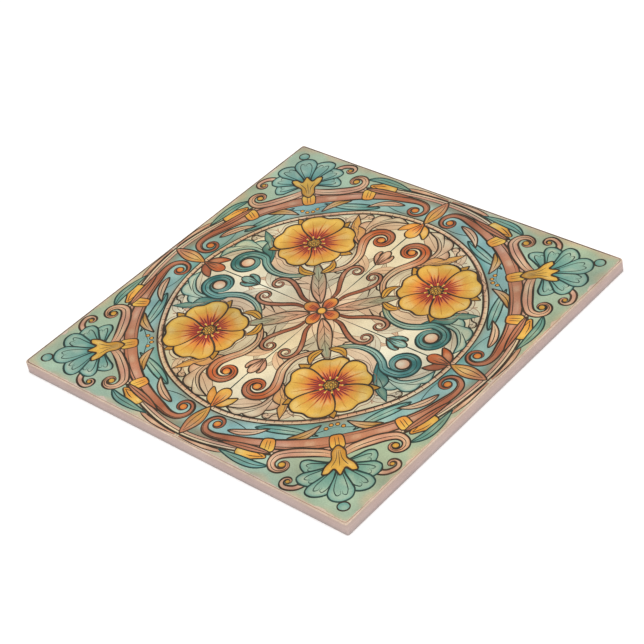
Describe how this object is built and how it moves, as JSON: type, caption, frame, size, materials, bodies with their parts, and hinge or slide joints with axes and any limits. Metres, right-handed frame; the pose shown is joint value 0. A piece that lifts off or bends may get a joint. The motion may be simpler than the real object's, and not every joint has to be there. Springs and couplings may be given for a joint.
{
  "type": "art nouveau wall tile",
  "caption": "Square glazed ceramic wall tile with a printed floral scroll medallion, rounded shoulder, bare biscuit sides and a keyed back for mortar.",
  "frame": {"origin": "middle of the back, on the plane of the key ribs", "axes": "+Z out of the glazed face, +Y towards the top edge of the pattern, +X towards its right-hand edge"},
  "size_m": [0.2, 0.2, 0.0064],
  "materials": {
    "glazed_ceramic": "gloss glaze over a printed pattern on the face, bare pinkish biscuit on the sides and back"
  },
  "bodies": {
    "root": {"tile": "glazed_ceramic"}
  },
  "joints": []
}
